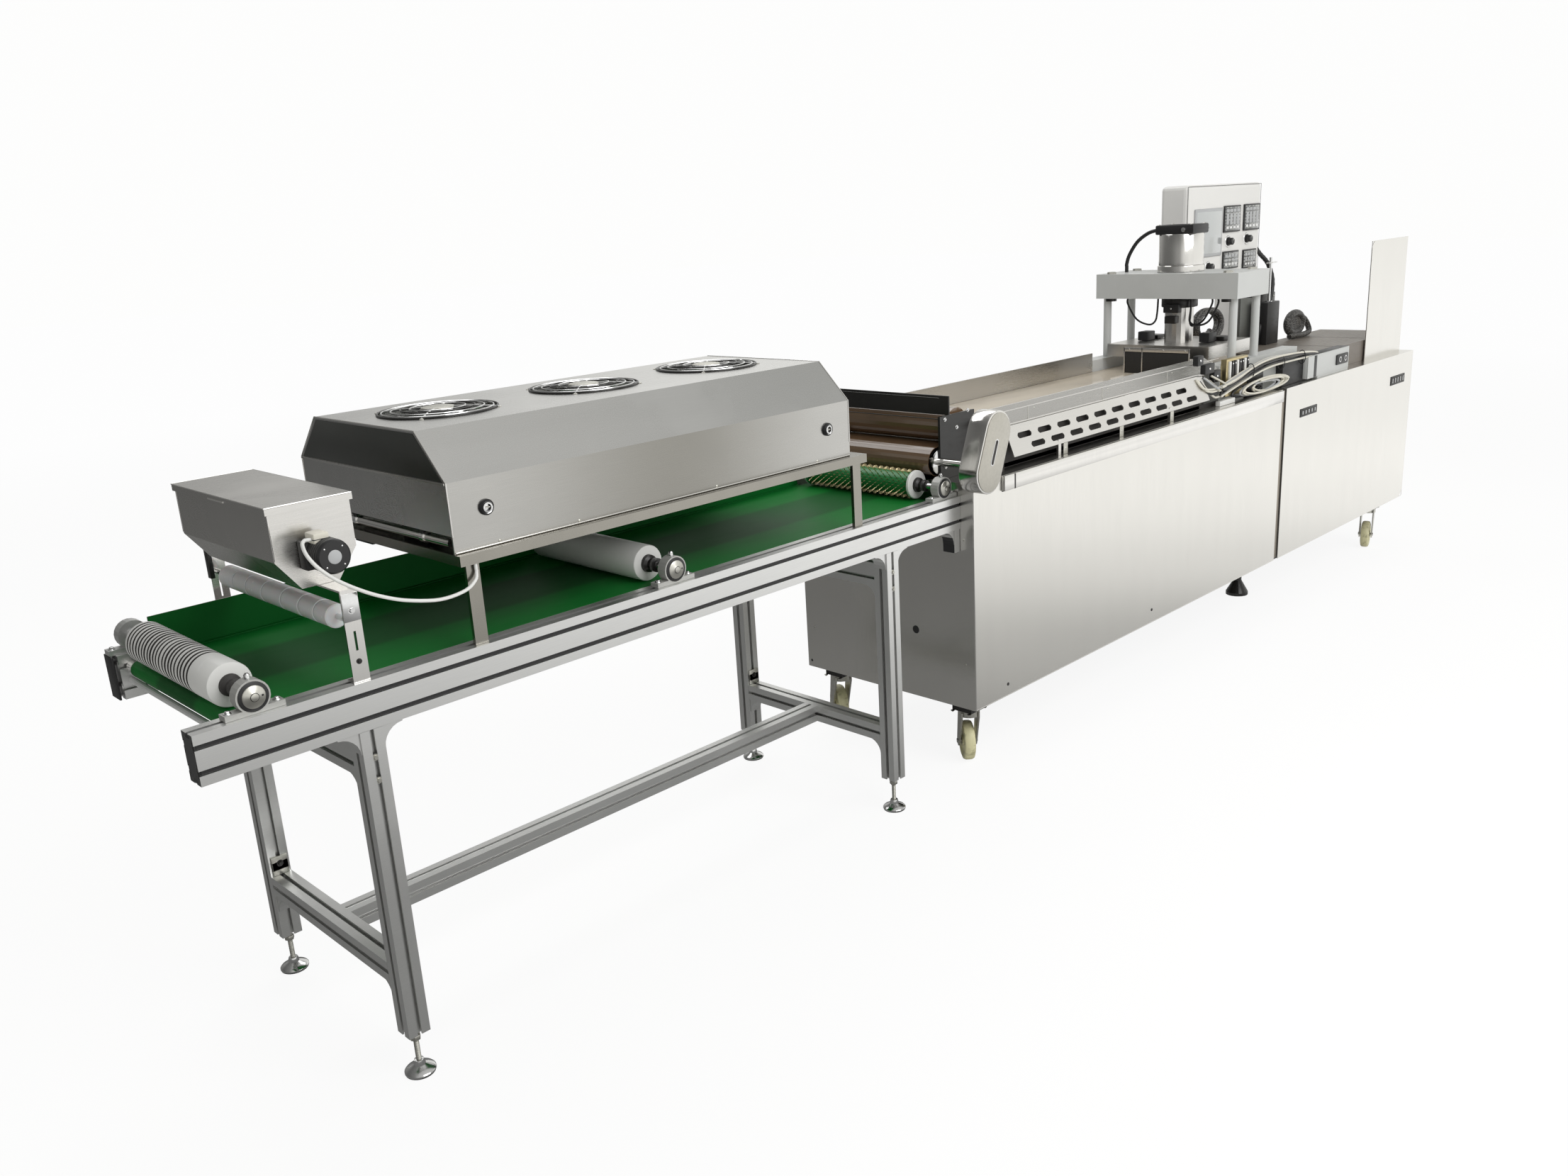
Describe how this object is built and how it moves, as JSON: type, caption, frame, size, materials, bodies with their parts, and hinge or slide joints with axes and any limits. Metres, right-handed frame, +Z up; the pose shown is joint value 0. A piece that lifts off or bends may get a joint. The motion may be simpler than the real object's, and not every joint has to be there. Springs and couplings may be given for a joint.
{
  "type": "flatbread press, baking and cooling line",
  "caption": "Flatbread line: hot press, baking belt on a stainless cabinet with casters, and an aluminium outfeed conveyor with fan hood and flour duster.",
  "frame": {"origin": "middle of the footprint on the floor, under the whole line's bounding box", "axes": "+X along the line from the conveyor's free end to the infeed end, +Y away from the operator's side, +Z up"},
  "size_m": [4.665, 0.6492, 1.418],
  "materials": {
    "aluminium_profile": "extruded, satin anodised",
    "stainless_sheet": "brushed stainless sheet",
    "polished_stainless": "mirror polished stainless",
    "zinc_plate": "zinc plated steel",
    "chrome_plate": "bright chrome",
    "cast_grey": "cast housing, silver painted",
    "grey_paint": "satin light grey paint",
    "black_steel": "black painted steel",
    "black_plastic": "moulded, matte",
    "white_plastic": "machined white plastic",
    "green_belt": "smooth green conveyor belting",
    "brown_belt": "fluoropolymer coated glass fabric, semi-gloss",
    "cream_wheel": "cream nylon wheel, worn",
    "taupe_cover": "dark taupe cover"
  },
  "bodies": {
    "line": {"rail_near": "aluminium_profile", "rail_far": "aluminium_profile", "end_frame_left": "aluminium_profile", "end_frame_right": "aluminium_profile", "lower_h_frame": "aluminium_profile", "bearing_grooved": "cast_grey", "bearing_hold_down": "cast_grey", "bearing_spiked": "cast_grey", "belt_bed": "polished_stainless", "nose_bar": "grey_paint", "green_belt": "green_belt", "hood_shell": "stainless_sheet", "hood_frame": "polished_stainless", "hopper_body": "stainless_sheet", "hopper_bridge": "polished_stainless", "dosing_motor": "black_plastic", "motor_cable": "white_plastic", "main_cabinet": "stainless_sheet", "infeed_cabinet": "stainless_sheet", "base_frame": "black_steel", "baking_belt": "brown_belt", "outlet_frame": "black_steel", "oven_trough": "stainless_sheet", "vent_cover": "stainless_sheet", "drive_cover": "polished_stainless", "press_frame": "grey_paint", "press_cylinder": "polished_stainless", "press_hose": "black_plastic", "control_cabinet": "grey_paint", "infeed_table": "taupe_cover", "junction_box": "grey_paint"},
    "drive_roller_body": {"drive_roller": "stainless_sheet"},
    "grooved_roller_body": {"grooved_roller": "white_plastic"},
    "hold_down_roller_body": {"hold_down_roller": "white_plastic"},
    "spiked_roller_body": {"spiked_roller": "white_plastic"},
    "dusting_roller_body": {"dusting_roller": "white_plastic"},
    "feed_shaft_body": {"feed_shaft": "stainless_sheet"},
    "lid_body": {"hopper_lid": "stainless_sheet"},
    "head_drum_body": {"head_drum": "polished_stainless"},
    "tail_drum_body": {"tail_drum": "polished_stainless"},
    "upper_drum_body": {"upper_drum": "brown_belt"},
    "press_ram_body": {"press_ram": "stainless_sheet"},
    "fan_1_body": {"fan_rotor_1": "black_plastic"},
    "knob_1_body": {"knob_1": "black_plastic"},
    "fan_2_body": {"fan_rotor_2": "black_plastic"},
    "knob_2_body": {"knob_2": "black_plastic"},
    "fan_3_body": {"fan_rotor_3": "black_plastic"},
    "knob_3_body": {"knob_3": "black_plastic"},
    "foot_near_left_body": {"foot_near_left": "chrome_plate"},
    "foot_near_right_body": {"foot_near_right": "chrome_plate"},
    "foot_far_left_body": {"foot_far_left": "chrome_plate"},
    "foot_far_right_body": {"foot_far_right": "chrome_plate"},
    "caster_near_left_body": {"caster_fork_near_left": "zinc_plate"},
    "wheel_near_left_body": {"caster_wheel_near_left": "cream_wheel"},
    "caster_far_left_body": {"caster_fork_far_left": "zinc_plate"},
    "wheel_far_left_body": {"caster_wheel_far_left": "cream_wheel"},
    "caster_near_right_body": {"caster_fork_near_right": "zinc_plate"},
    "wheel_near_right_body": {"caster_wheel_near_right": "cream_wheel"},
    "caster_far_right_body": {"caster_fork_far_right": "zinc_plate"},
    "wheel_far_right_body": {"caster_wheel_far_right": "cream_wheel"}
  },
  "joints": [
    {"name": "drive_roller_spin", "type": "hinge", "parent": "line", "child": "drive_roller_body", "pos_m": [-0.5685, 0.03665, 0.689], "axis": [0, 1, 0], "continuous": true},
    {"name": "grooved_roller_spin", "type": "hinge", "parent": "line", "child": "grooved_roller_body", "pos_m": [-2.2335, 0.03665, 0.7555], "axis": [0, 1, 0], "continuous": true},
    {"name": "hold_down_roller_spin", "type": "hinge", "parent": "line", "child": "hold_down_roller_body", "pos_m": [-1.4085, 0.03665, 0.7555], "axis": [0, 1, 0], "continuous": true},
    {"name": "spiked_roller_spin", "type": "hinge", "parent": "line", "child": "spiked_roller_body", "pos_m": [-0.56848, 0.03665, 0.7555], "axis": [0, 1, 0], "continuous": true},
    {"name": "dusting_roller_spin", "type": "hinge", "parent": "line", "child": "dusting_roller_body", "pos_m": [-2.0645, 0.03665, 0.827], "axis": [0, 1, 0], "continuous": true},
    {"name": "feed_shaft_spin", "type": "hinge", "parent": "line", "child": "feed_shaft_body", "pos_m": [-2.0755, 0.03665, 0.934], "axis": [0, 1, 0], "continuous": true},
    {"name": "lid_hinge", "type": "hinge", "parent": "line", "child": "lid_body", "pos_m": [-2.0045, 0.02165, 1.0043], "axis": [0, 1, 0], "range_deg": [0, 105]},
    {"name": "fan_1_spin", "type": "hinge", "parent": "line", "child": "fan_1_body", "pos_m": [-1.71, 0.05665, 1.074], "axis": [0, 0, 1], "continuous": true},
    {"name": "fan_2_spin", "type": "hinge", "parent": "line", "child": "fan_2_body", "pos_m": [-1.378, 0.05665, 1.074], "axis": [0, 0, 1], "continuous": true},
    {"name": "fan_3_spin", "type": "hinge", "parent": "line", "child": "fan_3_body", "pos_m": [-1.046, 0.05665, 1.074], "axis": [0, 0, 1], "continuous": true},
    {"name": "head_drum_spin", "type": "hinge", "parent": "line", "child": "head_drum_body", "pos_m": [-0.5125, 0.03665, 0.8042], "axis": [0, 1, 0], "continuous": true},
    {"name": "tail_drum_spin", "type": "hinge", "parent": "line", "child": "tail_drum_body", "pos_m": [1.3675, 0.03665, 0.8042], "axis": [0, 1, 0], "continuous": true},
    {"name": "upper_drum_spin", "type": "hinge", "parent": "line", "child": "upper_drum_body", "pos_m": [-0.4345, 0.03665, 0.8825], "axis": [0, 1, 0], "continuous": true},
    {"name": "press_stroke", "type": "slide", "parent": "line", "child": "press_ram_body", "axis": [0, 0, -1], "range_m": [0, 0.0445]},
    {"name": "knob_1_turn", "type": "hinge", "parent": "line", "child": "knob_1_body", "pos_m": [1.3285, 0.07935, 1.144], "axis": [0, 1, 0], "range_deg": [-135, 135]},
    {"name": "knob_2_turn", "type": "hinge", "parent": "line", "child": "knob_2_body", "pos_m": [1.4705, 0.07935, 1.223], "axis": [0, 1, 0], "range_deg": [-135, 135]},
    {"name": "knob_3_turn", "type": "hinge", "parent": "line", "child": "knob_3_body", "pos_m": [1.6125, 0.07935, 1.226], "axis": [0, 1, 0], "range_deg": [-135, 135]},
    {"name": "foot_near_left_turn", "type": "hinge", "parent": "line", "child": "foot_near_left_body", "pos_m": [-2.0655, -0.21035, 0.04], "axis": [0, 0, 1], "continuous": true},
    {"name": "foot_far_left_turn", "type": "hinge", "parent": "line", "child": "foot_far_left_body", "pos_m": [-2.0655, 0.28365, 0.04], "axis": [0, 0, 1], "continuous": true},
    {"name": "foot_near_right_turn", "type": "hinge", "parent": "line", "child": "foot_near_right_body", "pos_m": [-0.7775, -0.21035, 0.04], "axis": [0, 0, 1], "continuous": true},
    {"name": "foot_far_right_turn", "type": "hinge", "parent": "line", "child": "foot_far_right_body", "pos_m": [-0.7775, 0.28365, 0.04], "axis": [0, 0, 1], "continuous": true},
    {"name": "caster_near_left_swivel", "type": "hinge", "parent": "line", "child": "caster_near_left_body", "pos_m": [-0.4545, -0.19635, 0.14], "axis": [0, 0, 1], "continuous": true},
    {"name": "wheel_near_left_spin", "type": "hinge", "parent": "caster_near_left_body", "child": "wheel_near_left_body", "pos_m": [-0.43443, -0.17406, 0.052], "axis": [-0.7431, 0.6691, 0], "continuous": true},
    {"name": "caster_far_left_swivel", "type": "hinge", "parent": "line", "child": "caster_far_left_body", "pos_m": [-0.4545, 0.24765, 0.14], "axis": [0, 0, 1], "continuous": true},
    {"name": "wheel_far_left_spin", "type": "hinge", "parent": "caster_far_left_body", "child": "wheel_far_left_body", "pos_m": [-0.4395, 0.27363, 0.052], "axis": [-0.866, 0.5, 0], "continuous": true},
    {"name": "caster_near_right_swivel", "type": "hinge", "parent": "line", "child": "caster_near_right_body", "pos_m": [2.1875, -0.19635, 0.14], "axis": [0, 0, 1], "continuous": true},
    {"name": "wheel_near_right_spin", "type": "hinge", "parent": "caster_near_right_body", "child": "wheel_near_right_body", "pos_m": [2.15852, -0.20411, 0.052], "axis": [0.2588, -0.9659, 0], "continuous": true},
    {"name": "caster_far_right_swivel", "type": "hinge", "parent": "line", "child": "caster_far_right_body", "pos_m": [2.1875, 0.24765, 0.14], "axis": [0, 0, 1], "continuous": true},
    {"name": "wheel_far_right_spin", "type": "hinge", "parent": "caster_far_right_body", "child": "wheel_far_right_body", "pos_m": [2.21704, 0.25286, 0.052], "axis": [-0.1736, 0.9848, 0], "continuous": true}
  ],
  "couplings": [
    {"joint": "grooved_roller_spin", "follows": "drive_roller_spin", "ratio": -0.83333},
    {"joint": "hold_down_roller_spin", "follows": "drive_roller_spin", "ratio": -0.83333},
    {"joint": "spiked_roller_spin", "follows": "drive_roller_spin", "ratio": -0.83333},
    {"joint": "tail_drum_spin", "follows": "head_drum_spin", "ratio": 1},
    {"joint": "upper_drum_spin", "follows": "head_drum_spin", "ratio": -0.84524}
  ]
}
